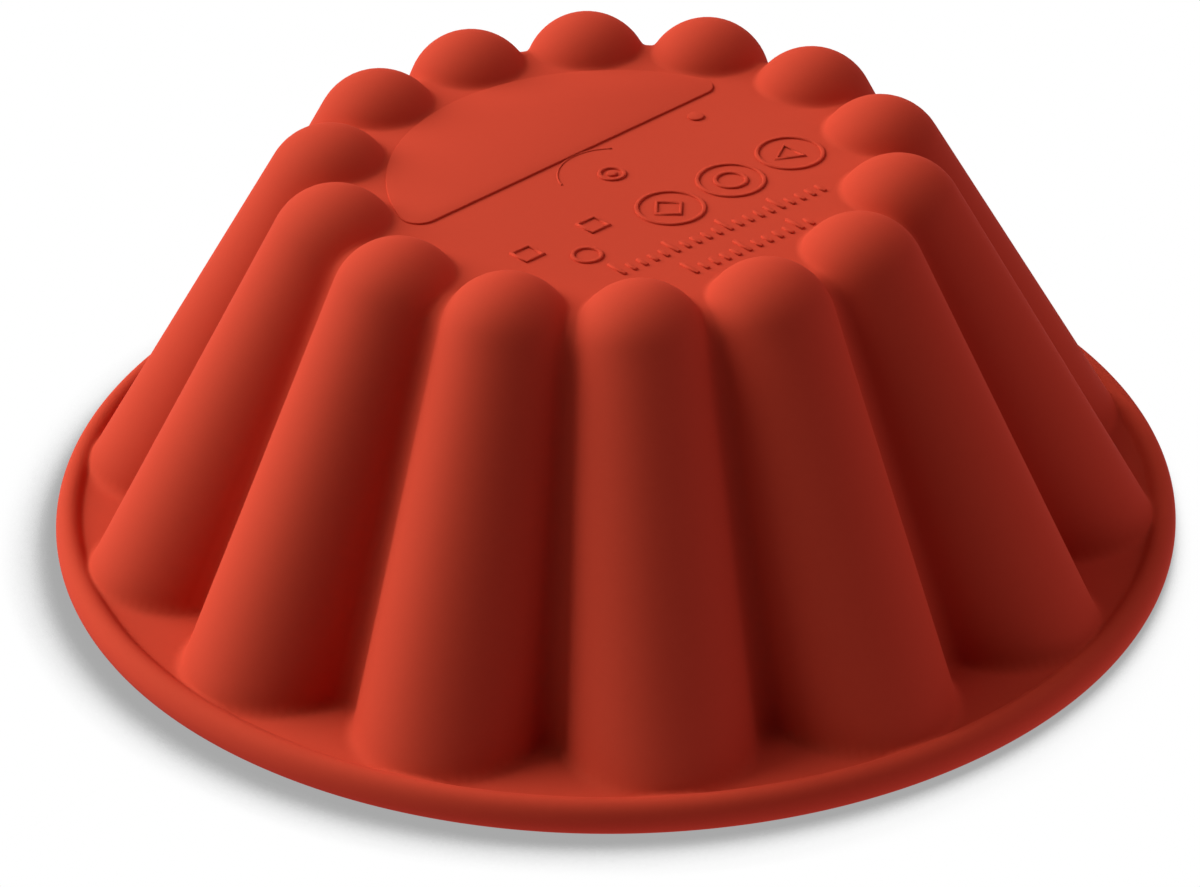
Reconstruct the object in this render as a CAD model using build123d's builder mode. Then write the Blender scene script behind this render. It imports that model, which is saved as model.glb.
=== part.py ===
from build123d import *
import os
from math import asin, atan, cos, hypot, pi, radians, sin, sqrt, tan

# A fluted brioche mould, turned out upside down: the mouth and its rim lie on the table and the
# base is on top. The moulding is one skin of silicone rubber, with a wire ring sealed in its rim.
# Frame: millimetres, origin at the centre of the rim's underside, +Z up along the axis of symmetry.

# Rim: a round bead around a thin flange
rim_outer_radius = 75.0
bead_width = 3.8
bead_height = 4.3
bead_corner_radius = 1.4
flange_top_height = 3.2
flange_thickness = 1.8

# Flutes: tapered round fingers that lean inwards and end in a dome; their feet lap under the bead,
# measured on the crest where it meets the flange
flute_count = 14
first_flute_angle = -84.9
foot_lap = 1.07
flute_foot_gap = 2.06
flute_crown_centre_radius = 37.1
flute_crown_radius = 8.6
overall_height = 55.0

# Skin and the soft corners between the flutes
wall_thickness = 2.0
base_thickness = 2.2
panel_drop = 4.3
panel_edge_radius = 5.0
valley_foot_radius = 2.3
valley_crown_radius = 1.9
valley_overlap = 0.08
foot_fillet_radius = 1.2

# Stiffening ring, sealed in the middle of the bead
ring_wire_diameter = 1.9
ring_clearance = 0.05

# Raised marks on the base panel: a blank plate, plain rings and the gate mark
mark_height = 0.35
mark_root = 0.5
plate_gap = 0.45
plate_chord_offset = 7.05
plate_direction = 134.2
plate_corner_radius = 2.6
ring_mark_radius = 4.6
ring_mark_line = 0.55
ring_mark_count = 3
ring_mark_pitch = 10.7
ring_mark_row_direction = 42.6
ring_mark_row_offset = -11.85
ring_mark_row_centre = 9.87
small_ring_radius = 2.1
small_ring_x = -3.2
small_ring_y = -21.4
gate_mark_radius = 1.9
gate_pin_radius = 0.7

# Worked out from the sizes above
half_pitch = pi / flute_count
crown_centre_height = overall_height - flute_crown_radius
crest_foot_radius = rim_outer_radius - bead_width + foot_lap
crest_run = crest_foot_radius - flute_crown_centre_radius
crest_rise = crown_centre_height - flange_top_height
crest_lean = atan(crest_run / crest_rise) - asin(flute_crown_radius / hypot(crest_run, crest_rise))
crest_table_radius = crest_foot_radius + flange_top_height * tan(crest_lean)
half_chord_share = sin(half_pitch)
flute_room = crest_table_radius * half_chord_share - flute_foot_gap / 2
flute_foot_radius = flute_room / (1 + half_chord_share / cos(crest_lean))
flute_foot_centre_radius = crest_table_radius - flute_foot_radius / cos(crest_lean)
panel_height = overall_height - panel_drop
flange_bottom_height = flange_top_height - flange_thickness
axis_run = flute_foot_centre_radius - flute_crown_centre_radius
axis_length = hypot(axis_run, crown_centre_height)
axis_lean = atan(axis_run / crown_centre_height)
taper = asin((flute_foot_radius - flute_crown_radius) / axis_length)
crown_radius_at_panel = sqrt(flute_crown_radius**2 - (flute_crown_radius - panel_drop) ** 2)
plate_outer_radius = flute_crown_centre_radius - crown_radius_at_panel - plate_gap
ring_radius = rim_outer_radius - bead_width / 2
ring_height = bead_height / 2
skirt_length = flange_top_height + flute_foot_radius


def flute_gap(x, y, z, inset):
    """Distance from a point to the skin of the flute on the XZ plane, negative inside it."""
    lean_x, lean_z = -sin(axis_lean), cos(axis_lean)
    off_x = x - flute_foot_centre_radius
    along = off_x * lean_x + z * lean_z
    across = sqrt(max(off_x**2 + y**2 + z**2 - along**2, 0))
    seat = min(along - across * tan(taper), axis_length)
    radius = flute_foot_radius - inset - seat * sin(taper)
    return hypot(across, along - seat) - radius


def valley_arc(height, arc_radius, inset):
    """Centre radius and half angle of the arc that beds between two flutes at this height."""
    steps = 60
    low = (flute_foot_centre_radius - height * tan(axis_lean)) * cos(half_pitch)
    high = low + rim_outer_radius
    for _ in range(steps):
        centre = (low + high) / 2
        gaps = []
        for step in range(steps):
            turn = radians(90) * step / steps
            radial = centre - arc_radius * cos(turn)
            sideways = arc_radius * sin(turn)
            x = radial * cos(half_pitch) + sideways * sin(half_pitch)
            y = radial * sin(half_pitch) - sideways * cos(half_pitch)
            gaps.append((flute_gap(x, y, height, inset), turn))
        nearest, contact = min(gaps)
        if nearest < -valley_overlap:
            low = centre
        else:
            high = centre
    return centre, contact


def valley_radius_at(height):
    """Radius of the valley's round bottom, which narrows from the foot to the crown."""
    share = (height - flange_top_height) / (crown_centre_height - flange_top_height)
    return valley_foot_radius + (valley_crown_radius - valley_foot_radius) * share


def core_sections(inset):
    """Height, arc centre radius, arc radius and half angle of each section of the core."""
    sections = []
    bottom = -skirt_length / 2 if inset else flange_bottom_height
    top = panel_height - (base_thickness if inset else 0)
    edge_radius = panel_edge_radius - inset
    edge_height = top - edge_radius
    levels = 5
    for level in range(levels):
        height = bottom + (edge_height - bottom) * level / (levels - 1)
        arc_radius = valley_radius_at(height) + inset
        centre, contact = valley_arc(height, arc_radius, inset)
        sections.append((height, centre, arc_radius, contact))

    # Above these the valley line turns over on the panel's round edge.
    foot, crown = sections[0], sections[-1]
    run = (foot[1] - foot[2]) - (crown[1] - crown[2])
    slope = atan(run / (crown[0] - foot[0]))
    turn_height = edge_height + edge_radius * sin(slope)
    turn_radius = crown[1] - crown[2] - (turn_height - crown[0]) * tan(slope)
    roll_centre = turn_radius - edge_radius * cos(slope)
    for level in range(levels):
        turn = slope + (radians(90) - slope) * level / (levels - 1)
        height = edge_height + edge_radius * sin(turn)
        floor = roll_centre + edge_radius * cos(turn)
        sections.append((height, floor + crown[2], crown[2], crown[3]))
    return sections


def core_outline(centre, arc_radius, contact):
    """Star outline: a round hollow between each pair of flutes, joined inside the flutes."""
    first = radians(first_flute_angle)
    corners = []
    for valley in range(flute_count):
        angle = first + half_pitch * (2 * valley + 1)
        arc = []
        for turn in (-contact, 0, contact):
            radial = centre - arc_radius * cos(turn)
            sideways = arc_radius * sin(turn)
            x = radial * cos(angle) - sideways * sin(angle)
            y = radial * sin(angle) + sideways * cos(angle)
            arc.append((x, y))
        corners.append(arc)
    for valley in range(flute_count):
        arc = corners[valley]
        following = corners[(valley + 1) % flute_count]
        ThreePointArc(*arc)
        Line(arc[-1], following[0])


def make_core(inset):
    """Body between the flutes, with its hollows and its rolled top edge."""
    sections = core_sections(inset)
    lower = sections[: len(sections) // 2]
    upper = sections[len(sections) // 2 - 1 :]
    with BuildPart() as core:
        for group in (lower, upper):
            for height, centre, arc_radius, contact in group:
                with BuildSketch(Plane.XY.offset(height)):
                    with BuildLine():
                        core_outline(centre, arc_radius, contact)
                    make_face()
            loft(ruled=True)
    return core.part


def make_flute(inset):
    """One tapered finger with its dome, turned about its leaning axis."""
    radius = flute_foot_radius - inset
    crown_radius = flute_crown_radius - inset
    lean = (-sin(axis_lean), cos(axis_lean))
    side = (cos(axis_lean), sin(axis_lean))

    def place(along, across):
        """Point in the XZ plane at a distance along the axis and across it."""
        x = flute_foot_centre_radius + along * lean[0] + across * side[0]
        return (x, along * lean[1] + across * side[1])

    start = -skirt_length
    start_radius = (radius - start * sin(taper)) / cos(taper)
    crown_tangent = place(axis_length + crown_radius * sin(taper), crown_radius * cos(taper))
    middle_turn = (taper + radians(90)) / 2
    crown_middle = place(axis_length + crown_radius * sin(middle_turn), crown_radius * cos(middle_turn))
    crown_tip = place(axis_length + crown_radius, 0)
    with BuildPart() as flute:
        with BuildSketch(Plane.XZ):
            with BuildLine():
                Line(place(start, 0), place(start, start_radius))
                Line(place(start, start_radius), crown_tangent)
                ThreePointArc(crown_tangent, crown_middle, crown_tip)
                Line(crown_tip, place(start, 0))
            make_face()
        revolve(axis=Axis((flute_foot_centre_radius, 0, 0), (lean[0], 0, lean[1])))
    return flute.part


# Cavity: the space that the batter fills, the flutes and core drawn in by the wall
inner_flute = make_flute(wall_thickness)
inner_core = make_core(wall_thickness)
with BuildPart() as cavity:
    with PolarLocations(0, flute_count, start_angle=first_flute_angle):
        add(inner_flute)
    add(inner_core)

# Moulding: flutes, core, flange, bead and marks, hollowed by the cavity
outer_flute = make_flute(0)
outer_core = make_core(0)
with BuildPart() as mould_shell:
    with PolarLocations(0, flute_count, start_angle=first_flute_angle):
        add(outer_flute)
    add(outer_core)
    split(bisect_by=Plane.XY.offset(flange_bottom_height), keep=Keep.TOP)
    with BuildSketch(Plane.XY.offset(flange_bottom_height)):
        Circle(ring_radius)
    extrude(amount=flange_thickness)
    flange_top = mould_shell.faces().filter_by(Axis.Z).group_by(Axis.Z)[1][0]
    fillet(flange_top.inner_wires()[0].edges(), foot_fillet_radius)
    with BuildSketch(Plane.XZ):
        with Locations((ring_radius, ring_height)):
            RectangleRounded(bead_width, bead_height, bead_corner_radius)
    revolve(axis=Axis.Z)

    # Blank plate: a slice of a disc, cut off by one straight edge
    with BuildSketch(Plane.XY.offset(panel_height - mark_root)) as plate:
        Circle(plate_outer_radius)
        with Locations(Location((0, 0, 0), (0, 0, plate_direction))):
            with Locations((plate_chord_offset - plate_outer_radius, 0)):
                Rectangle(2 * plate_outer_radius, 2 * plate_outer_radius, mode=Mode.SUBTRACT)
        fillet(plate.vertices(), plate_corner_radius)
    extrude(amount=mark_root + mark_height)

    # Row of plain rings beside the plate, the small ring and the gate mark
    with BuildSketch(Plane.XY.offset(panel_height - mark_root)):
        with Locations(Location((0, 0, 0), (0, 0, ring_mark_row_direction))):
            with Locations((ring_mark_row_centre, ring_mark_row_offset)):
                with GridLocations(ring_mark_pitch, 0, ring_mark_count, 1):
                    Circle(ring_mark_radius)
                    Circle(ring_mark_radius - ring_mark_line, mode=Mode.SUBTRACT)
        with Locations((small_ring_x, small_ring_y)):
            Circle(small_ring_radius)
            Circle(small_ring_radius - ring_mark_line, mode=Mode.SUBTRACT)
        Circle(gate_mark_radius)
        Circle(gate_mark_radius - ring_mark_line, mode=Mode.SUBTRACT)
        Circle(gate_pin_radius)
    extrude(amount=mark_root + mark_height)

    add(cavity.part, mode=Mode.SUBTRACT)
    with BuildSketch(Plane.XZ):
        with Locations((ring_radius, ring_height)):
            Circle(ring_wire_diameter / 2 + ring_clearance)
    revolve(axis=Axis.Z, mode=Mode.SUBTRACT)

# Stiffening ring: steel wire bent to a hoop and closed
with BuildPart() as rim_ring:
    with BuildSketch(Plane.XZ):
        with Locations((ring_radius, ring_height)):
            Circle(ring_wire_diameter / 2)
    revolve(axis=Axis.Z)

os.makedirs("parts", exist_ok=True)
mould_shell.part.label = "mould_shell"
export_step(mould_shell.part, "parts/mould_shell.step")
rim_ring.part.label = "rim_ring"
export_step(rim_ring.part, "parts/rim_ring.step")
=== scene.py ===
"""A fluted brioche mould of silicone rubber, lying mouth down on a pale floor.

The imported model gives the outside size, the rim's hoop and the frame: metres, +Z up, with the
origin at the centre of the rim's underside. The silicone skin is made here with its soft corners,
as one closed shell, and the raised marks on its base are pieces of their own.
"""

import logging
import math
from collections.abc import Callable
from dataclasses import dataclass, field
from enum import Enum

import bmesh
import bpy
from mathutils import Matrix, Vector


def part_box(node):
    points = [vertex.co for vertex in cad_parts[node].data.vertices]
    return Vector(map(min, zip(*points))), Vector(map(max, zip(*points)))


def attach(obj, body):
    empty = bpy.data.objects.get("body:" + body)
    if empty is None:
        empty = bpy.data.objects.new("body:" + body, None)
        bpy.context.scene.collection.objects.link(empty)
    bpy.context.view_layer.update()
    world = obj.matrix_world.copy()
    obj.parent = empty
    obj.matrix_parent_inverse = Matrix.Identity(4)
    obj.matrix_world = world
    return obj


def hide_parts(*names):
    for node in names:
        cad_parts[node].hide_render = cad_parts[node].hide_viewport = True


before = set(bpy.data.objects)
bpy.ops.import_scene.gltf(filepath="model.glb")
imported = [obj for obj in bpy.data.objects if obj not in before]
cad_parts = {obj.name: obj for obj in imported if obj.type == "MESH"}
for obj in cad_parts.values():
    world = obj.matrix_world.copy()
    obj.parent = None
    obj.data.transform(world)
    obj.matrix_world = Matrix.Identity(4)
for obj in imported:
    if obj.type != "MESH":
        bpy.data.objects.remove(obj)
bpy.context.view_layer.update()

log = logging.getLogger("brioche_mould")

MM = 0.001
SHELL_NODE = "mould_shell"
RING_NODE = "rim_ring"
BODY = "root"

Point = tuple[float, float]
Colour = tuple[float, float, float, float]
WHITE: Colour = (1.0, 1.0, 1.0, 1.0)


def union_round(first: float, second: float, radius: float) -> float:
    """Distance to two shapes joined, with the inside corner between them rounded.

    Args:
        first: Distance to the first shape, negative inside it.
        second: Distance to the second shape.
        radius: Size of the rounding; zero keeps the corner sharp.

    Returns:
        Distance to the joined shape.
    """
    near = max(radius, min(first, second))
    return near - math.hypot(max(radius - first, 0.0), max(radius - second, 0.0))


def common_round(first: float, second: float, radius: float) -> float:
    """Distance to what two shapes share, with its outside edge rounded.

    Args:
        first: Distance to the first shape, negative inside it.
        second: Distance to the second shape.
        radius: Size of the rounding.

    Returns:
        Distance to the shared shape.
    """
    far = min(-radius, max(first, second))
    return far + math.hypot(max(radius + first, 0.0), max(radius + second, 0.0))


def smooth_share(value: float, start: float, end: float) -> float:
    """Share from 0 at start to 1 at end, level at both."""
    share = min(max((value - start) / (end - start), 0.0), 1.0)
    return share * share * (3.0 - 2.0 * share)


@dataclass(frozen=True)
class MouldSizes:
    """Sizes of the silicone moulding. The rim's radius and the height come from the frame.

    Heights are above the table, crown sizes belong to the flutes' domes, and the valleys between
    the flutes have a round bottom that narrows from the foot to the crown.
    """

    rim_radius: float
    height: float
    flute_count: int = 14
    first_flute: float = math.radians(-84.9)
    bead_width: float = 3.8 * MM
    bead_middle: float = 1.85 * MM
    bead_reach: float = 2.45 * MM
    bead_edge: float = 0.25 * MM
    flange_top: float = 3.2 * MM
    flange_thickness: float = 1.8 * MM
    foot_lap: float = 1.0 * MM
    foot_radius: float = 12.3 * MM
    crown_centre: float = 37.1 * MM
    crown_radius: float = 8.6 * MM
    wall: float = 2.0 * MM
    base: float = 2.2 * MM
    panel_drop: float = 4.3 * MM
    panel_edge: float = 2.7 * MM
    valley_foot: float = 2.3 * MM
    valley_crown: float = 1.9 * MM
    foot_fillet: float = 0.6 * MM
    crown_fillet: float = 0.35 * MM
    bead_fillet: float = 0.3 * MM
    mouth_edge: float = 0.6 * MM

    @property
    def half_pitch(self) -> float:
        """Angle from a flute's crest to the valley beside it."""
        return math.pi / self.flute_count

    @property
    def foot_centre(self) -> float:
        """Distance from the axis to a flute's centre, at the table."""
        return self.rim_radius - self.bead_width - self.foot_radius + self.foot_lap

    @property
    def crown_height(self) -> float:
        """Height of the centre of a flute's dome."""
        return self.height - self.crown_radius

    @property
    def panel_height(self) -> float:
        """Height of the base panel's face."""
        return self.height - self.panel_drop

    @property
    def flange_bottom(self) -> float:
        """Height of the flange's underside."""
        return self.flange_top - self.flange_thickness

    @property
    def bead_centre(self) -> Point:
        """Centre of the bead's section, as distance from the axis and height."""
        return self.rim_radius - self.bead_width / 2, self.bead_middle


class Skin(Enum):
    """The three surfaces that the rows of the shell lie on."""

    OUTER = "outer"
    BEAD = "bead"
    INNER = "inner"


@dataclass(frozen=True)
class Ray:
    """A line in the half-plane of distance from the axis and height, which places one row."""

    skin: Skin
    start: Point
    heading: float


class FlutedSkin:
    """Distances to the moulding's surfaces, between a crest and the valley beside it."""

    BED_HALVINGS = 40
    BED_STEPS = 90
    RAY_HALVINGS = 34

    def __init__(self, sizes: MouldSizes) -> None:
        """Works out the lean of the flutes and the beds between them.

        Args:
            sizes: Sizes of the moulding.
        """
        self.sizes = sizes
        run = sizes.foot_centre - sizes.crown_centre
        self.lean = math.atan2(run, sizes.crown_height)
        self.length = math.hypot(run, sizes.crown_height)
        self.taper = math.asin((sizes.foot_radius - sizes.crown_radius) / self.length)
        self.foot_bed = self.bed(sizes.flange_bottom, sizes.valley_foot)
        self.crown_bed = self.bed(sizes.crown_height, sizes.valley_crown)

    def flute_gap(self, x: float, y: float, z: float) -> float:
        """Distance to the flute on the XZ plane, a tapered finger with a round end.

        Args:
            x: Place along the crest's direction.
            y: Place across it.
            z: Height.

        Returns:
            Distance, negative inside.
        """
        sizes = self.sizes
        out = x - sizes.foot_centre
        along = z * math.cos(self.lean) - out * math.sin(self.lean)
        across = math.sqrt(max(out * out + y * y + z * z - along * along, 0.0))
        seat = min(along - across * math.tan(self.taper), self.length)
        radius = sizes.foot_radius - seat * math.sin(self.taper)
        return math.hypot(across, along - seat) - radius

    def bed(self, height: float, radius: float) -> Point:
        """Where a ball rolled down between two flutes comes to rest at a height.

        Args:
            height: Height of the section.
            radius: Radius of the ball.

        Returns:
            Distance of the ball's centre from the axis, and the half angle it touches over.
        """
        half = self.sizes.half_pitch
        low = (self.sizes.foot_centre - height * math.tan(self.lean)) * math.cos(half)
        high = low + self.sizes.rim_radius
        contact = 0.0
        for _ in range(self.BED_HALVINGS):
            centre = (low + high) / 2
            nearest = math.inf
            for step in range(self.BED_STEPS):
                turn = math.pi / 2 * step / self.BED_STEPS
                radial = centre - radius * math.cos(turn)
                sideways = radius * math.sin(turn)
                x = radial * math.cos(half) + sideways * math.sin(half)
                y = radial * math.sin(half) - sideways * math.cos(half)
                gap = self.flute_gap(x, y, height)
                if gap < nearest:
                    nearest, contact = gap, turn
            if nearest < 0:
                low = centre
            else:
                high = centre
        return centre, contact

    def core_gap(self, x: float, y: float, z: float) -> float:
        """Distance to the core that fills the inside, with a round bed down each valley.

        Args:
            x: Place along the crest's direction.
            y: Place across it.
            z: Height.

        Returns:
            Distance, negative inside.
        """
        sizes = self.sizes
        half = sizes.half_pitch
        share = (z - sizes.flange_bottom) / (sizes.crown_height - sizes.flange_bottom)
        centre = self.foot_bed[0] + (self.crown_bed[0] - self.foot_bed[0]) * share
        contact = self.foot_bed[1] + (self.crown_bed[1] - self.foot_bed[1]) * share
        radius = sizes.valley_foot + (sizes.valley_crown - sizes.valley_foot) * share
        radial = x * math.cos(half) + y * math.sin(half) - centre
        sideways = x * math.sin(half) - y * math.cos(half)
        bed = radius - math.hypot(radial, sideways)
        chord = radial + radius * math.cos(contact)
        return max(bed, chord) * math.cos(self.lean)

    def walls_gap(self, x: float, y: float, z: float, depth: float, panel: float) -> float:
        """Distance to the flutes, core and base together, at a depth under their skin.

        Args:
            x: Place along the crest's direction.
            y: Place across it.
            z: Height.
            depth: How far inside the outer skin the surface lies.
            panel: Height of the flat base there.

        Returns:
            Distance, negative inside.
        """
        sizes = self.sizes
        edge = max(sizes.panel_edge - depth, sizes.mouth_edge)
        core = common_round(self.core_gap(x, y, z) + depth, z - panel, edge)
        flute = self.flute_gap(x, y, z) + depth
        share = smooth_share(z, sizes.crown_height, sizes.panel_height - depth)
        return union_round(flute, core, (sizes.crown_fillet + depth) * share)

    def bead_gap(self, x: float, y: float, z: float) -> float:
        """Distance to the bead on the flange's edge, a tall oval that stands on a narrow flat.

        Args:
            x: Place along the crest's direction.
            y: Place across it.
            z: Height.

        Returns:
            Distance, negative inside.
        """
        sizes = self.sizes
        radius, height = sizes.bead_centre
        off = (math.hypot(x, y) - radius) / (sizes.bead_width / 2)
        rise = (z - height) / sizes.bead_reach
        oval = (math.hypot(off, rise) - 1) * sizes.bead_middle
        return common_round(oval, -z, sizes.bead_edge)

    def outer_gap(self, x: float, y: float, z: float) -> float:
        """Distance to the outer skin: walls, flange top and bead with their fillets.

        Args:
            x: Place along the crest's direction.
            y: Place across it.
            z: Height.

        Returns:
            Distance, negative inside.
        """
        sizes = self.sizes
        walls = self.walls_gap(x, y, z, 0.0, sizes.panel_height)
        flanged = union_round(walls, z - sizes.flange_top, sizes.foot_fillet)
        return union_round(flanged, self.bead_gap(x, y, z), sizes.bead_fillet)

    def inner_gap(self, x: float, y: float, z: float) -> float:
        """Distance to the room inside and under the mould, which the inner skin bounds.

        Args:
            x: Place along the crest's direction.
            y: Place across it.
            z: Height.

        Returns:
            Distance, negative inside.
        """
        sizes = self.sizes
        cavity = self.walls_gap(x, y, z, sizes.wall, sizes.panel_height - sizes.base)
        return union_round(cavity, z - sizes.flange_bottom, sizes.mouth_edge)

    def point(self, ray: Ray, turn: float) -> Point:
        """Where a ray leaves its surface, in the half-plane turned from the crest.

        Args:
            ray: The row's line.
            turn: Angle of the half-plane from the crest's plane.

        Returns:
            Distance from the axis, and height.
        """
        gaps = {
            Skin.OUTER: self.outer_gap,
            Skin.BEAD: self.bead_gap,
            Skin.INNER: self.inner_gap,
        }
        gap = gaps[ray.skin]
        rightward, upward = math.cos(ray.heading), math.sin(ray.heading)
        near, far = 0.0, 2 * self.sizes.rim_radius
        for _ in range(self.RAY_HALVINGS):
            reach = (near + far) / 2
            radius = ray.start[0] + reach * rightward
            height = ray.start[1] + reach * upward
            if gap(radius * math.cos(turn), radius * math.sin(turn), height) < 0:
                near = reach
            else:
                far = reach
        return ray.start[0] + near * rightward, ray.start[1] + near * upward


@dataclass
class MouldShell:
    """The silicone moulding: one closed skin, from the base panel round the bead and inside.

    Its rows run round the axis and its columns from each crest to the valleys beside it. Columns
    crowd towards the valleys. The steps are the spacing of the rows on each stretch of the crest.
    """

    sizes: MouldSizes
    rubber: bpy.types.Material
    columns: int = 16
    crowding: float = 0.6
    panel_step: float = 3.0 * MM
    dome_step: float = 0.5 * MM
    wall_step: float = 2.4 * MM
    foot_step: float = 0.35 * MM
    flange_step: float = 0.32 * MM
    under_step: float = 0.8 * MM
    inner_step: float = 3.0 * MM
    shoulder_rows: int = 11
    bead_turn: float = math.radians(8)
    ray_turn: float = math.radians(0.05)
    foot_zone: float = 1.8 * MM
    pivot: Point = (40.0 * MM, -30.0 * MM)
    merge: float = 0.001 * MM
    skin: FlutedSkin = field(init=False)

    def __post_init__(self) -> None:
        """Makes the distances that the rows are placed by."""
        self.skin = FlutedSkin(self.sizes)

    def heading(self, radius: float, height: float) -> float:
        """Heading from the pivot to a point of the half-plane."""
        return math.atan2(height - self.pivot[1], radius - self.pivot[0])

    def spaced(
        self, skin: Skin, first: float, last: float, step: Callable[[Point], float]
    ) -> list[Ray]:
        """Rays from the pivot, evenly spaced along the crest.

        Args:
            skin: Surface that the rays end on.
            first: Heading to start beyond.
            last: Heading to stop before.
            step: Spacing wanted at a point of the crest.

        Returns:
            The rays in order.
        """
        rays: list[Ray] = []
        fine = self.ray_turn * (1 if last > first else -1)
        heading, walked = first, 0.0
        before = self.skin.point(Ray(skin, self.pivot, first), 0.0)
        while (last - heading - fine) * fine > 0:
            heading += fine
            here = self.skin.point(Ray(skin, self.pivot, heading), 0.0)
            walked += math.dist(before, here)
            before = here
            if walked >= step(here):
                rays.append(Ray(skin, self.pivot, heading))
                walked = 0.0
        return rays

    def panel_rays(self, skin: Skin, height: float) -> list[Ray]:
        """Rays to the flat panel, from its centre to where the domes begin.

        Args:
            skin: Surface that the rays end on.
            height: Height of that panel.

        Returns:
            The rays in order.
        """
        sizes = self.sizes
        reach = sizes.crown_centre - sizes.crown_radius - sizes.crown_fillet
        count = int(reach / self.panel_step)
        places = [reach * index / count for index in range(count + 1)]
        return [Ray(skin, self.pivot, self.heading(place, height)) for place in places]

    def outer_rays(self) -> list[Ray]:
        """Rows down the outside: panel, domes, walls, flange and the bead's inner shoulder.

        Returns:
            The rays in order.
        """
        sizes = self.sizes
        rays = self.panel_rays(Skin.OUTER, sizes.panel_height)
        bead_edge = sizes.rim_radius - sizes.bead_width
        foot = self.skin.foot_bed[0] - sizes.valley_foot
        foot_heading = self.heading(foot, sizes.flange_top)
        foot_top = sizes.flange_top + sizes.foot_fillet
        near_foot = self.heading(foot - self.foot_zone, foot_top)
        dome_low = sizes.crown_height - sizes.crown_radius / 2

        def wall_spacing(here: Point) -> float:
            """Close rows on the domes and wide ones on the walls."""
            return self.dome_step if here[1] > dome_low else self.wall_step

        def foot_spacing(here: Point) -> float:
            """Close rows over the fillet at the feet."""
            return self.foot_step

        rays += self.spaced(Skin.OUTER, rays[-1].heading, near_foot, wall_spacing)
        rays += self.spaced(Skin.OUTER, rays[-1].heading, foot_heading, foot_spacing)

        shoulder = bead_edge - sizes.bead_fillet
        count = round((shoulder - foot) / self.flange_step)
        for index in range(count + 1):
            share = index / count
            place = foot + (shoulder - foot) * share
            heading = foot_heading + (math.pi / 2 - foot_heading) * share
            drop = sizes.flange_thickness
            start = (place - drop / math.tan(heading), sizes.flange_top - drop)
            rays.append(Ray(Skin.OUTER, start, heading))
        for index in range(self.shoulder_rows):
            turn = math.pi / 2 * index / (self.shoulder_rows - 1)
            place = bead_edge + sizes.bead_width / 2 * (1 - math.cos(turn))
            rays.append(Ray(Skin.OUTER, (place, sizes.flange_bottom), math.pi / 2))
        return rays

    def bead_rays(self) -> list[Ray]:
        """Rows round the bead, from its top to where the flange's underside meets it.

        Returns:
            The rays in order.
        """
        sizes = self.sizes
        first = math.pi / 2
        rise = sizes.flange_bottom - sizes.bead_middle
        inward = sizes.bead_width / 2 * math.sqrt(1 - (rise / sizes.bead_reach) ** 2)
        last = math.atan2(rise, -inward)
        count = round((first - last) / self.bead_turn)
        turns = [first + (last - first) * index / count for index in range(1, count + 1)]
        return [Ray(Skin.BEAD, sizes.bead_centre, turn) for turn in turns]

    def inner_rays(self) -> list[Ray]:
        """Rows under the flange, over the mouth's edge and up the inside to the panel.

        Returns:
            The rays in order.
        """
        sizes = self.sizes
        bead_edge = sizes.rim_radius - sizes.bead_width
        mouth = self.skin.foot_bed[0] - sizes.valley_foot - sizes.wall - sizes.mouth_edge
        count = round((bead_edge - mouth) / self.under_step)
        rays = []
        for index in range(1, count + 1):
            place = bead_edge + (mouth - bead_edge) * index / count
            rays.append(Ray(Skin.INNER, self.pivot, self.heading(place, sizes.flange_bottom)))
        panel = self.panel_rays(Skin.INNER, sizes.panel_height - sizes.base)
        last = panel[-1].heading
        rays += self.spaced(Skin.INNER, rays[-1].heading, last, lambda here: self.inner_step)
        return rays + panel[::-1]

    def build(self) -> bpy.types.Object:
        """Lays a grid over half a flute, mirrors it, repeats it round the axis and joins it.

        Returns:
            The mould's skin, closed.
        """
        sizes = self.sizes
        rays = self.outer_rays() + self.bead_rays() + self.inner_rays()
        turns = []
        for column in range(self.columns + 1):
            share = column / self.columns
            crowded = 2 * share - share * share
            turns.append(sizes.half_pitch * (share + self.crowding * (crowded - share)))
        table = [[self.skin.point(ray, turn) for turn in turns] for ray in rays]

        mesh = bmesh.new()
        rows = len(rays) - 1
        bmesh.ops.create_grid(mesh, x_segments=rows, y_segments=self.columns, size=1.0)
        for vert in mesh.verts:
            row = round((vert.co.x + 1) / 2 * rows)
            column = round((vert.co.y + 1) / 2 * self.columns)
            radius, height = table[row][column]
            turn = turns[column]
            vert.co = (radius * math.cos(turn), radius * math.sin(turn), height)
        bmesh.ops.mirror(
            mesh,
            geom=mesh.verts[:] + mesh.edges[:] + mesh.faces[:],
            matrix=Matrix.Identity(4),
            axis="Y",
            merge_dist=self.merge,
        )
        about_axis = Matrix.Rotation(sizes.first_flute, 4, "Z")
        bmesh.ops.transform(mesh, matrix=about_axis, verts=mesh.verts[:])
        repeats = sizes.flute_count - 1
        bmesh.ops.spin(
            mesh,
            geom=mesh.verts[:] + mesh.edges[:] + mesh.faces[:],
            cent=(0, 0, 0),
            axis=(0, 0, 1),
            angle=2 * sizes.half_pitch * repeats,
            steps=repeats,
            use_duplicate=True,
        )
        bmesh.ops.remove_doubles(mesh, verts=mesh.verts[:], dist=self.merge)
        return rubber_piece("fluted_mould", mesh, self.rubber)


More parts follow.
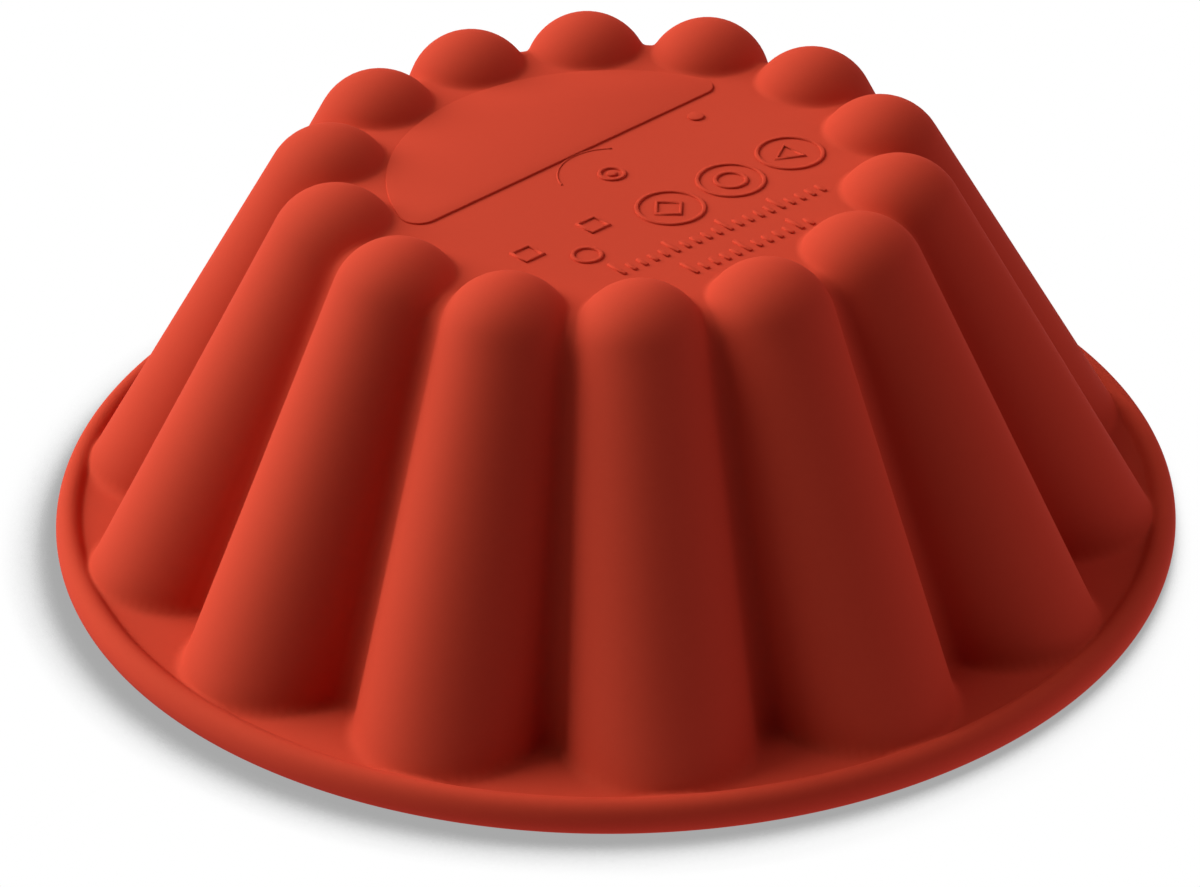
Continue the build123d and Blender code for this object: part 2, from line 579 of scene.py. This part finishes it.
def rubber_piece(
    name: str, mesh: bmesh.types.BMesh, rubber: bpy.types.Material
) -> bpy.types.Object:
    """Turns a bmesh into a smooth silicone piece that stands for the shell of the CAD model.

    Args:
        name: Name of the piece.
        mesh: Its shape in the object's frame; it is freed here.
        rubber: Material that it is made of.

    Returns:
        The new object.
    """
    bmesh.ops.recalc_face_normals(mesh, faces=mesh.faces[:])
    for face in mesh.faces:
        face.smooth = True
    data = bpy.data.meshes.new(name)
    mesh.to_mesh(data)
    mesh.free()
    data.materials.append(rubber)
    piece = bpy.data.objects.new(name, data)
    bpy.context.scene.collection.objects.link(piece)
    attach(piece, BODY)
    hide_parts(SHELL_NODE)
    log.info("%s: %d faces", name, len(data.polygons))
    return piece


@dataclass(frozen=True)
class Stamp:
    """A low raised regular shape on the base panel."""

    name: str
    place: Point
    corners: int
    radius: float
    turn: float


@dataclass(frozen=True)
class TickRow:
    """A row of plain ticks, a longer one at each fifth place, as on a ruler."""

    name: str
    start: Point
    count: int
    direction: float = math.radians(39.3)
    pitch: float = 1.75 * MM
    width: float = 0.55 * MM
    short: float = 1.9 * MM
    long: float = 3.3 * MM
    every: int = 5

    def outline(self) -> bmesh.types.BMesh:
        """Lays the flat faces of the ticks, standing on one line.

        Returns:
            A bmesh with one face for each tick, at height zero.
        """
        mesh = bmesh.new()
        for index in range(self.count):
            length = self.long if index % self.every == 0 else self.short
            made = bmesh.ops.create_grid(mesh, x_segments=1, y_segments=1, size=0.5)["verts"]
            bmesh.ops.scale(mesh, vec=(self.width, length, 1.0), verts=made)
            bmesh.ops.translate(mesh, vec=(index * self.pitch, length / 2, 0), verts=made)
        turned = Matrix.Rotation(self.direction, 4, "Z")
        bmesh.ops.transform(mesh, matrix=turned, verts=mesh.verts[:])
        bmesh.ops.translate(mesh, vec=(*self.start, 0), verts=mesh.verts[:])
        return mesh


@dataclass
class BaseMarks:
    """Low raised marks on the base panel: a blank plate, plain shapes, ticks and the gate.

    Places are measured from the axis, and directions from +X. A stamp whose radius is more than
    hollow_ratio lines is drawn as a line, and a face whose normal rises less than side_rise is
    a side of a mark.
    """

    sizes: MouldSizes
    rubber: bpy.types.Material
    height: float = 0.28 * MM
    root: float = 0.5 * MM
    soft_edge: float = 0.14 * MM
    plate_gap: float = 0.45 * MM
    plate_chord: float = 7.05 * MM
    plate_direction: float = math.radians(134.2)
    plate_corner: float = 2.6 * MM
    ring_radius: float = 4.6 * MM
    ring_line: float = 0.55 * MM
    ring_count: int = 3
    ring_pitch: float = 10.7 * MM
    row_direction: float = math.radians(42.6)
    row_offset: float = -11.85 * MM
    row_centre: float = 9.87 * MM
    small_ring_radius: float = 2.1 * MM
    small_ring_place: Point = (-3.2 * MM, -21.4 * MM)
    gate_radius: float = 1.9 * MM
    gate_pin_radius: float = 0.7 * MM
    gate_arc_radius: float = 7.2 * MM
    gate_arc_line: float = 0.3 * MM
    gate_arc_height: float = 0.12 * MM
    gate_arc_start: float = math.radians(90)
    gate_arc_turn: float = math.radians(114)
    inner_ring_radius: float = 2.3 * MM
    stamps: tuple[Stamp, ...] = (
        Stamp("diamond_mark", (7.17 * MM, -9.41 * MM), 4, 2.5 * MM, math.radians(42.6)),
        Stamp("triangle_mark", (22.94 * MM, 5.09 * MM), 3, 2.5 * MM, math.radians(132.6)),
        Stamp("square_mark_1", (-2.43 * MM, -13.53 * MM), 4, 2.3 * MM, math.radians(87.6)),
        Stamp("square_mark_2", (-10.67 * MM, -20.88 * MM), 4, 2.3 * MM, math.radians(87.6)),
        Stamp("dot_mark", (11.15 * MM, 15.68 * MM), 20, 1.1 * MM, 0.0),
    )
    tick_rows: tuple[TickRow, ...] = (
        TickRow("long_tick_row", (1.6 * MM, -26.3 * MM), count=20),
        TickRow("short_tick_row", (10.6 * MM, -26.2 * MM), count=12),
    )
    plate_segments: int = 160
    ring_segments: int = 72
    pin_segments: int = 24
    bevel_segments: int = 3
    corner_share: float = 0.3
    hollow_ratio: float = 3.0
    side_rise: float = 0.5

    @property
    def plate_radius(self) -> float:
        """Radius of the plate's round edge, just short of the domes.

        Returns:
            Distance from the axis.
        """
        sizes = self.sizes
        drop = sizes.crown_radius - sizes.panel_drop
        at_panel = math.sqrt(sizes.crown_radius**2 - drop**2)
        return sizes.crown_centre - at_panel - self.plate_gap

    def ring(self, name: str, place: Point, outer: float, line: float) -> bpy.types.Object:
        """A low ring with a soft top.

        Args:
            name: Name of the piece.
            place: Centre on the panel.
            outer: Outer radius.
            line: Width of the ring's line.

        Returns:
            The piece.
        """
        mesh = self.section(outer, line, self.height)
        bmesh.ops.spin(
            mesh,
            geom=mesh.verts[:] + mesh.edges[:],
            cent=(0, 0, 0),
            axis=(0, 0, 1),
            angle=math.tau,
            steps=self.ring_segments,
            use_merge=True,
        )
        bmesh.ops.translate(mesh, vec=(*place, 0), verts=mesh.verts[:])
        return rubber_piece(name, mesh, self.rubber)

    def section(self, outer: float, line: float, height: float) -> bmesh.types.BMesh:
        """The loop of edges that a ring's line is spun from.

        Args:
            outer: Outer radius.
            line: Width of the line.
            height: How far it stands above the panel.

        Returns:
            A bmesh with the loop on the XZ plane.
        """
        low = self.sizes.panel_height - self.root
        top = self.sizes.panel_height + height
        soft = min(self.soft_edge, height, line / 3)
        mid = soft * self.corner_share
        points = [(outer, low), (outer, top - soft), (outer - mid, top - mid), (outer - soft, top)]
        points += [(2 * outer - line - x, z) for x, z in reversed(points)]
        mesh = bmesh.new()
        verts = [mesh.verts.new((x, 0, z)) for x, z in points]
        for index, vert in enumerate(verts):
            mesh.edges.new((vert, verts[(index + 1) % len(verts)]))
        return mesh

    def gate_arc(self) -> bpy.types.Object:
        """The faint line that the gate's insert leaves, part of the way round it.

        Returns:
            The piece.
        """
        mesh = self.section(self.gate_arc_radius, self.gate_arc_line, self.gate_arc_height)
        start = Matrix.Rotation(self.gate_arc_start, 4, "Z")
        bmesh.ops.transform(mesh, matrix=start, verts=mesh.verts[:])
        bmesh.ops.spin(
            mesh,
            geom=mesh.verts[:] + mesh.edges[:],
            cent=(0, 0, 0),
            axis=(0, 0, 1),
            angle=self.gate_arc_turn,
            steps=self.ring_segments // 2,
        )
        bmesh.ops.holes_fill(mesh, edges=mesh.edges[:])
        return rubber_piece("gate_arc", mesh, self.rubber)

    def stamp(self, shape: Stamp) -> bpy.types.Object:
        """A regular shape drawn as a raised line, or solid where it is too small for one.

        Args:
            shape: Its corners, size and place.

        Returns:
            The piece.
        """
        mesh = bmesh.new()
        bmesh.ops.create_circle(mesh, cap_ends=True, segments=shape.corners, radius=shape.radius)
        if shape.radius > self.hollow_ratio * self.ring_line:
            bmesh.ops.inset_individual(mesh, faces=mesh.faces[:], thickness=self.ring_line)
            middle = min(mesh.faces, key=lambda face: face.calc_center_median().length)
            bmesh.ops.delete(mesh, geom=[middle], context="FACES_ONLY")
        turned = Matrix.Rotation(shape.turn, 4, "Z")
        bmesh.ops.transform(mesh, matrix=turned, verts=mesh.verts[:])
        bmesh.ops.translate(mesh, vec=(*shape.place, 0), verts=mesh.verts[:])
        return self.raised(shape.name, mesh)

    def raised(self, name: str, mesh: bmesh.types.BMesh) -> bpy.types.Object:
        """Lifts a flat outline off the panel and softens its top edge.

        Args:
            name: Name of the piece.
            mesh: A flat face at height zero.

        Returns:
            The piece.
        """
        flat = mesh.faces[:]
        mesh.normal_update()
        lifted = bmesh.ops.extrude_face_region(mesh, geom=flat)["geom"]
        top = [item for item in lifted if isinstance(item, bmesh.types.BMVert)]
        bmesh.ops.translate(mesh, vec=(0, 0, self.root + self.height), verts=top)
        mesh.normal_update()
        outline = [
            edge
            for edge in mesh.edges
            if all(vert in top for vert in edge.verts)
            and any(abs(face.normal.z) < self.side_rise for face in edge.link_faces)
        ]
        bmesh.ops.bevel(
            mesh,
            geom=outline,
            offset=self.soft_edge,
            offset_type="OFFSET",
            affect="EDGES",
            segments=self.bevel_segments,
            profile=0.5,
            material=-1,
            clamp_overlap=True,
        )
        base = self.sizes.panel_height - self.root
        bmesh.ops.translate(mesh, vec=(0, 0, base), verts=mesh.verts[:])
        return rubber_piece(name, mesh, self.rubber)

    def plate(self) -> bpy.types.Object:
        """The blank plate: a disc cut off by one straight edge, with round corners.

        Returns:
            The piece.
        """
        mesh = bmesh.new()
        corner = self.plate_corner
        bmesh.ops.create_circle(mesh, cap_ends=True, segments=self.plate_segments, radius=1.0)
        arc_radius = self.plate_radius - corner
        chord = self.plate_chord + corner
        arc_turn = math.acos(chord / arc_radius)
        for vert in mesh.verts:
            facing = math.atan2(vert.co.y, vert.co.x)
            held = min(max(facing, -arc_turn), arc_turn)
            x = arc_radius * math.cos(held) + corner * math.cos(facing)
            y = arc_radius * math.sin(held) + corner * math.sin(facing)
            vert.co = (x, y, 0)
        turned = Matrix.Rotation(self.plate_direction, 4, "Z")
        bmesh.ops.transform(mesh, matrix=turned, verts=mesh.verts[:])
        return self.raised("base_plate", mesh)

    def build(self) -> list[bpy.types.Object]:
        """Makes every mark on the base panel.

        Returns:
            The pieces.
        """
        pieces = [self.plate()]
        line = self.ring_line
        along = self.row_direction
        for index in range(self.ring_count):
            step = self.row_centre + (index - (self.ring_count - 1) / 2) * self.ring_pitch
            x = step * math.cos(along) - self.row_offset * math.sin(along)
            y = step * math.sin(along) + self.row_offset * math.cos(along)
            pieces.append(self.ring(f"ring_mark_{index + 1}", (x, y), self.ring_radius, line))
            if index == self.ring_count // 2:
                pieces.append(self.ring("inner_ring_mark", (x, y), self.inner_ring_radius, line))
        place = self.small_ring_place
        pieces.append(self.ring("small_ring_mark", place, self.small_ring_radius, line))
        pieces.append(self.ring("gate_ring", (0.0, 0.0), self.gate_radius, line))
        pieces.append(self.gate_arc())
        pieces += [self.stamp(shape) for shape in self.stamps]
        pieces += [self.raised(row.name, row.outline()) for row in self.tick_rows]
        pin = bmesh.new()
        segments, radius = self.pin_segments, self.gate_pin_radius
        bmesh.ops.create_circle(pin, cap_ends=True, segments=segments, radius=radius)
        pieces.append(self.raised("gate_pin", pin))
        return pieces


@dataclass(frozen=True)
class Grain:
    """How a noise looks: its cells to the metre, its finer layers and how strongly they show."""

    scale: float
    detail: float
    roughness: float


class Value:
    """A shader socket that takes part in Python sums and adds the Math nodes for them."""

    def __init__(self, graph: "Graph", socket: bpy.types.NodeSocket) -> None:
        """Wraps a socket.

        Args:
            graph: Graph that the socket belongs to.
            socket: An output socket.
        """
        self.graph = graph
        self.socket = socket

    def math(self, operation: str, *others: "Value | float") -> "Value":
        """Adds a Math node with this value first."""
        inputs = {index: item for index, item in enumerate((self, *others))}
        return self.graph.add("ShaderNodeMath", {"operation": operation}, inputs)

    def __add__(self, other: "Value | float") -> "Value":
        """Sum."""
        return self.math("ADD", other)

    __radd__ = __add__

    def __mul__(self, other: "Value | float") -> "Value":
        """Product."""
        return self.math("MULTIPLY", other)

    __rmul__ = __mul__

    def __sub__(self, other: "Value | float") -> "Value":
        """Difference."""
        return self.math("SUBTRACT", other)

    def __rsub__(self, other: float) -> "Value":
        """Difference from a number."""
        return self.graph.add("ShaderNodeMath", {"operation": "SUBTRACT"}, {0: other, 1: self})

    def clamped(self) -> "Value":
        """Kept between 0 and 1."""
        return self.graph.add("ShaderNodeClamp", {}, {"Value": self})

    def beside(self, output: str) -> "Value":
        """Another output of the node that this one comes from."""
        return Value(self.graph, self.socket.node.outputs[output])


class Graph:
    """The node tree of a material or of the world."""

    def __init__(self, owner: bpy.types.Material | bpy.types.World) -> None:
        """Empties the owner's tree, to be filled again.

        Args:
            owner: The material or world that the nodes belong to.
        """
        owner.use_nodes = True
        self.owner = owner
        self.tree = owner.node_tree
        self.tree.nodes.clear()

    def add(
        self,
        kind: str,
        settings: dict[str, object] | None = None,
        inputs: dict[str | int, object] | None = None,
        output: str | int = 0,
    ) -> Value:
        """Adds a node, sets it up and fills its sockets.

        Args:
            kind: The node's type.
            settings: Properties to set first.
            inputs: Values or links by socket name or place.
            output: Socket that the returned value reads.

        Returns:
            The chosen output.
        """
        node = self.tree.nodes.new(kind)
        for key, setting in (settings or {}).items():
            setattr(node, key, setting)
        for key, item in (inputs or {}).items():
            if isinstance(item, Value):
                self.tree.links.new(item.socket, node.inputs[key])
            else:
                node.inputs[key].default_value = item
        return Value(self, node.outputs[output])

    def place(self) -> Value:
        """Object coordinates, in metres."""
        return self.add("ShaderNodeTexCoord", output="Object")

    def noise(self, place: Value, grain: Grain) -> Value:
        """Noise from 0 to 1.

        Args:
            place: Coordinates that the noise is laid on.
            grain: How it looks.

        Returns:
            The noise's level.
        """
        inputs = {
            "Vector": place,
            "Scale": grain.scale,
            "Detail": grain.detail,
            "Roughness": grain.roughness,
        }
        return self.add("ShaderNodeTexNoise", {}, inputs, "Fac")

    def blend(self, factor: Value, first: Colour, second: Colour) -> Value:
        """Mixes two colours."""
        settings = {"data_type": "RGBA", "blend_type": "MIX"}
        return self.add("ShaderNodeMix", settings, {0: factor, 6: first, 7: second}, 2)

    def fade(self, value: Value, span: tuple[float, float], ends: tuple[float, float]) -> Value:
        """Runs smoothly from one number to another while a value crosses a span.

        Args:
            value: What the change follows.
            span: Where it starts and stops.
            ends: The numbers before and after.

        Returns:
            The changing number.
        """
        inputs = {
            "Value": value,
            "From Min": span[0],
            "From Max": span[1],
            "To Min": ends[0],
            "To Max": ends[1],
        }
        return self.add("ShaderNodeMapRange", {"interpolation_type": "SMOOTHSTEP"}, inputs)

    def seen(self) -> Value:
        """1 on rays that reach the camera, straight, mirrored or through glass, 0 on the rest.

        Returns:
            The switch.
        """
        camera = self.add("ShaderNodeLightPath", output="Is Camera Ray")
        mirrored, through = camera.beside("Is Glossy Ray"), camera.beside("Is Transmission Ray")
        return (camera + mirrored + through).clamped()

    def finish(self, surface: Value) -> None:
        """Links the surface to the output.

        Args:
            surface: Shader of the surface or of the world's background.
        """
        in_world = isinstance(self.owner, bpy.types.World)
        kind = "ShaderNodeOutputWorld" if in_world else "ShaderNodeOutputMaterial"
        output = self.tree.nodes.new(kind)
        self.tree.links.new(surface.socket, output.inputs["Surface"])


@dataclass(frozen=True)
class SiliconeFinish:
    """Matte terracotta silicone rubber, faintly uneven in tone with a fine moulded grain."""

    light: Colour = (0.605, 0.066, 0.032, 1.0)
    dark: Colour = (0.535, 0.053, 0.026, 1.0)
    roughness: float = 0.82
    specular: float = 0.06
    specular_tint: Colour = (1.0, 0.75, 0.3, 1.0)
    clouds: Grain = Grain(scale=28.0, detail=3.0, roughness=0.5)
    mottle: Grain = Grain(scale=900.0, detail=2.0, roughness=0.6)
    pores: Grain = Grain(scale=2600.0, detail=3.0, roughness=0.55)
    cloud_tone: float = 0.7
    mottle_tone: float = 0.3
    cloud_gloss: float = 0.08
    mottle_gloss: float = 0.12
    noise_middle: float = 0.5
    pore_depth: float = 0.02 * MM
    pore_strength: float = 0.35

    def material(self) -> bpy.types.Material:
        """Builds the material.

        Returns:
            The material, ready to use.
        """
        material = bpy.data.materials.new("silicone_rubber")
        graph = Graph(material)
        place = graph.place()
        clouds = graph.noise(place, self.clouds)
        mottle = graph.noise(place, self.mottle)
        pores = graph.noise(place, self.pores)
        tone = (clouds * self.cloud_tone + mottle * self.mottle_tone).clamped()
        colour = graph.blend(tone, self.dark, self.light)
        mottle_gloss = (mottle - self.noise_middle) * self.mottle_gloss
        cloud_gloss = (clouds - self.noise_middle) * self.cloud_gloss
        roughness = mottle_gloss + cloud_gloss + self.roughness
        bump = {"Strength": self.pore_strength, "Distance": self.pore_depth, "Height": pores}
        normal = graph.add("ShaderNodeBump", {}, bump, "Normal")
        surface = graph.add(
            "ShaderNodeBsdfPrincipled",
            {},
            {
                "Base Color": colour,
                "Roughness": roughness,
                "Specular IOR Level": self.specular,
                "Specular Tint": self.specular_tint,
                "Normal": normal,
            },
        )
        graph.finish(surface)
        return material


@dataclass(frozen=True)
class SteelFinish:
    """Drawn steel wire, finely uneven in tone and gloss."""

    colour: Colour = (0.62, 0.62, 0.63, 1.0)
    worn: Colour = (0.50, 0.50, 0.52, 1.0)
    roughness: float = 0.34
    roughness_spread: float = 0.2
    lines: Grain = Grain(scale=1800.0, detail=4.0, roughness=0.7)

    def material(self) -> bpy.types.Material:
        """Builds the material.

        Returns:
            The material, ready to use.
        """
        material = bpy.data.materials.new("drawn_steel")
        graph = Graph(material)
        lines = graph.noise(graph.place(), self.lines)
        colour = graph.blend(lines, self.worn, self.colour)
        roughness = lines * self.roughness_spread + self.roughness
        inputs = {"Base Color": colour, "Metallic": 1.0, "Roughness": roughness}
        graph.finish(graph.add("ShaderNodeBsdfPrincipled", {}, inputs))
        return material


@dataclass
class RimHoop:
    """The wire hoop sealed in the bead, which keeps the shape of its CAD node."""

    steel: bpy.types.Material

    def dress(self) -> bpy.types.Object:
        """Gives the hoop its steel.

        Returns:
            The hoop's object.
        """
        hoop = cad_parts[RING_NODE]
        if hoop.material_slots:
            for slot in hoop.material_slots:
                slot.material = self.steel
        else:
            hoop.data.materials.append(self.steel)
        log.info("%s: %d faces", RING_NODE, len(hoop.data.polygons))
        return hoop


@dataclass(frozen=True)
class Lamp:
    """A soft distant lamp: where it stands and how wide it looks, in degrees, and its strength."""

    name: str
    azimuth: float
    elevation: float
    width: float
    strength: float
    colour: tuple[float, float, float] = (1.0, 1.0, 1.0)

    def build(self, receivers: bpy.types.Collection) -> None:
        """Adds the lamp, which lights only the collection's objects.

        Args:
            receivers: What the lamp shines on.
        """
        data = bpy.data.lights.new(self.name, "SUN")
        data.energy = self.strength
        data.color = self.colour
        data.angle = math.radians(self.width)
        lamp = bpy.data.objects.new(self.name, data)
        bpy.context.scene.collection.objects.link(lamp)
        away = math.radians(90 - self.elevation)
        lamp.rotation_euler = (0, away, math.radians(self.azimuth))
        lamp.light_linking.receiver_collection = receivers


@dataclass
class Studio:
    """Pale floor, soft lamps and the camera, whose roll is in radians."""

    camera_place: tuple[float, float, float] = (0.5 * MM, -524.9 * MM, 332.6 * MM)
    aim: tuple[float, float, float] = (-1.98 * MM, 0.0, 9.92 * MM)
    roll: float = -0.0127
    lens: float = 138.2
    sensor: float = 36.0
    clip_start: float = 10.0 * MM
    floor_half: float = 3.0
    world_strength: float = 0.02
    shade_reach: float = 9.0 * MM
    shade_lean: tuple[float, float, float] = (0.42, 0.47, 0.77)
    shade_samples: int = 16
    shade_span: tuple[float, float] = (0.58, 0.92)
    shade_ends: tuple[float, float] = (0.39, 1.0)
    bounce_colour: Colour = (0.70, 0.46, 0.57, 1.0)
    bounce_span: tuple[float, float] = (80.0 * MM, 98.0 * MM)
    bounce_ends: tuple[float, float] = (1.0, 0.59)
    lamps: tuple[Lamp, ...] = (
        Lamp("key_lamp", azimuth=154, elevation=34, width=50, strength=3.72),
        Lamp("side_lamp", azimuth=185, elevation=45, width=50, strength=0.56),
        Lamp(
            "fill_lamp",
            azimuth=10,
            elevation=35,
            width=60,
            strength=0.85,
            colour=(1.0, 0.69, 0.80),
        ),
    )

    def camera(self) -> None:
        """Puts the camera where the photograph was taken from."""
        data = bpy.data.cameras.new("camera")
        data.lens = self.lens
        data.sensor_width = self.sensor
        data.clip_start = self.clip_start
        camera = bpy.data.objects.new("camera", data)
        bpy.context.scene.collection.objects.link(camera)
        look = Vector(self.aim) - Vector(self.camera_place)
        turned = look.to_track_quat("-Z", "Y").to_matrix().to_4x4()
        rolled = Matrix.Rotation(self.roll, 4, "Z")
        camera.matrix_world = Matrix.Translation(self.camera_place) @ turned @ rolled
        bpy.context.scene.camera = camera

    def floor_material(self) -> bpy.types.Material:
        """White to the eye with a painted shadow next to the mould, an emission darkened by an
        occlusion node rather than by a lamp, and a faint glow that lights the mould.

        Returns:
            The material.
        """
        material = bpy.data.materials.new("pale_floor")
        graph = Graph(material)
        # Painted shadow: what the camera sees of the floor is a white emission, dimmed near the
        # mould by ambient occlusion.
        towards = graph.add("ShaderNodeCombineXYZ", {}, dict(enumerate(self.shade_lean)))
        settings = {"samples": self.shade_samples}
        inputs = {"Distance": self.shade_reach, "Normal": towards}
        open_share = graph.add("ShaderNodeAmbientOcclusion", settings, inputs, "AO")
        painted_shadow = graph.fade(open_share, self.shade_span, self.shade_ends)
        looks = graph.add("ShaderNodeEmission", {}, {"Color": WHITE, "Strength": painted_shadow})
        length = {"operation": "LENGTH"}
        away = graph.add("ShaderNodeVectorMath", length, {0: graph.place()}, "Value")
        strength = graph.fade(away, self.bounce_span, self.bounce_ends)
        inputs = {"Color": self.bounce_colour, "Strength": strength}
        bounced = graph.add("ShaderNodeEmission", {}, inputs)
        graph.finish(graph.add("ShaderNodeMixShader", {}, {0: graph.seen(), 1: bounced, 2: looks}))
        return material

    def floor(self) -> None:
        """A wide pale floor at the rim's underside."""
        mesh = bmesh.new()
        bmesh.ops.create_grid(mesh, x_segments=1, y_segments=1, size=self.floor_half)
        data = bpy.data.meshes.new("floor")
        mesh.to_mesh(data)
        mesh.free()
        floor = bpy.data.objects.new("floor", data)
        bpy.context.scene.collection.objects.link(floor)
        data.materials.append(self.floor_material())

    def lights(self, pieces: list[bpy.types.Object]) -> None:
        """Lights the mould from the back left, with a weak fill from the right.

        Args:
            pieces: Pieces of the mould.
        """
        mould_set = bpy.data.collections.new("lit_mould")
        for piece in pieces:
            mould_set.objects.link(piece)
        for lamp in self.lamps:
            lamp.build(mould_set)

    def world(self) -> None:
        """Even pale light all round, which the camera sees as white."""
        world = bpy.data.worlds.new("studio")
        graph = Graph(world)
        inputs = {"Color": WHITE, "Strength": self.world_strength}
        light = graph.add("ShaderNodeBackground", {}, inputs)
        looks = graph.add("ShaderNodeBackground", {}, {"Color": WHITE, "Strength": 1.0})
        graph.finish(graph.add("ShaderNodeMixShader", {}, {0: graph.seen(), 1: light, 2: looks}))
        bpy.context.scene.world = world

    def build(self, pieces: list[bpy.types.Object]) -> None:
        """Makes the floor, camera, lamps and world round the mould.

        Args:
            pieces: Pieces of the mould.
        """
        self.camera()
        self.floor()
        self.lights(pieces)
        self.world()
        bpy.context.scene.view_settings.view_transform = "Standard"


def main() -> None:
    """Builds the mould's pieces, dresses them and sets the studio round them."""
    logging.basicConfig(level=logging.INFO, format="%(name)s: %(message)s")
    low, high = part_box(SHELL_NODE)
    sizes = MouldSizes(rim_radius=(high.x - low.x) / 2, height=high.z)
    rubber = SiliconeFinish().material()
    shell = MouldShell(sizes, rubber).build()
    marks = BaseMarks(sizes, rubber).build()
    hoop = RimHoop(SteelFinish().material()).dress()
    Studio().build([shell, *marks, hoop])


if __name__ == "__main__":
    main()
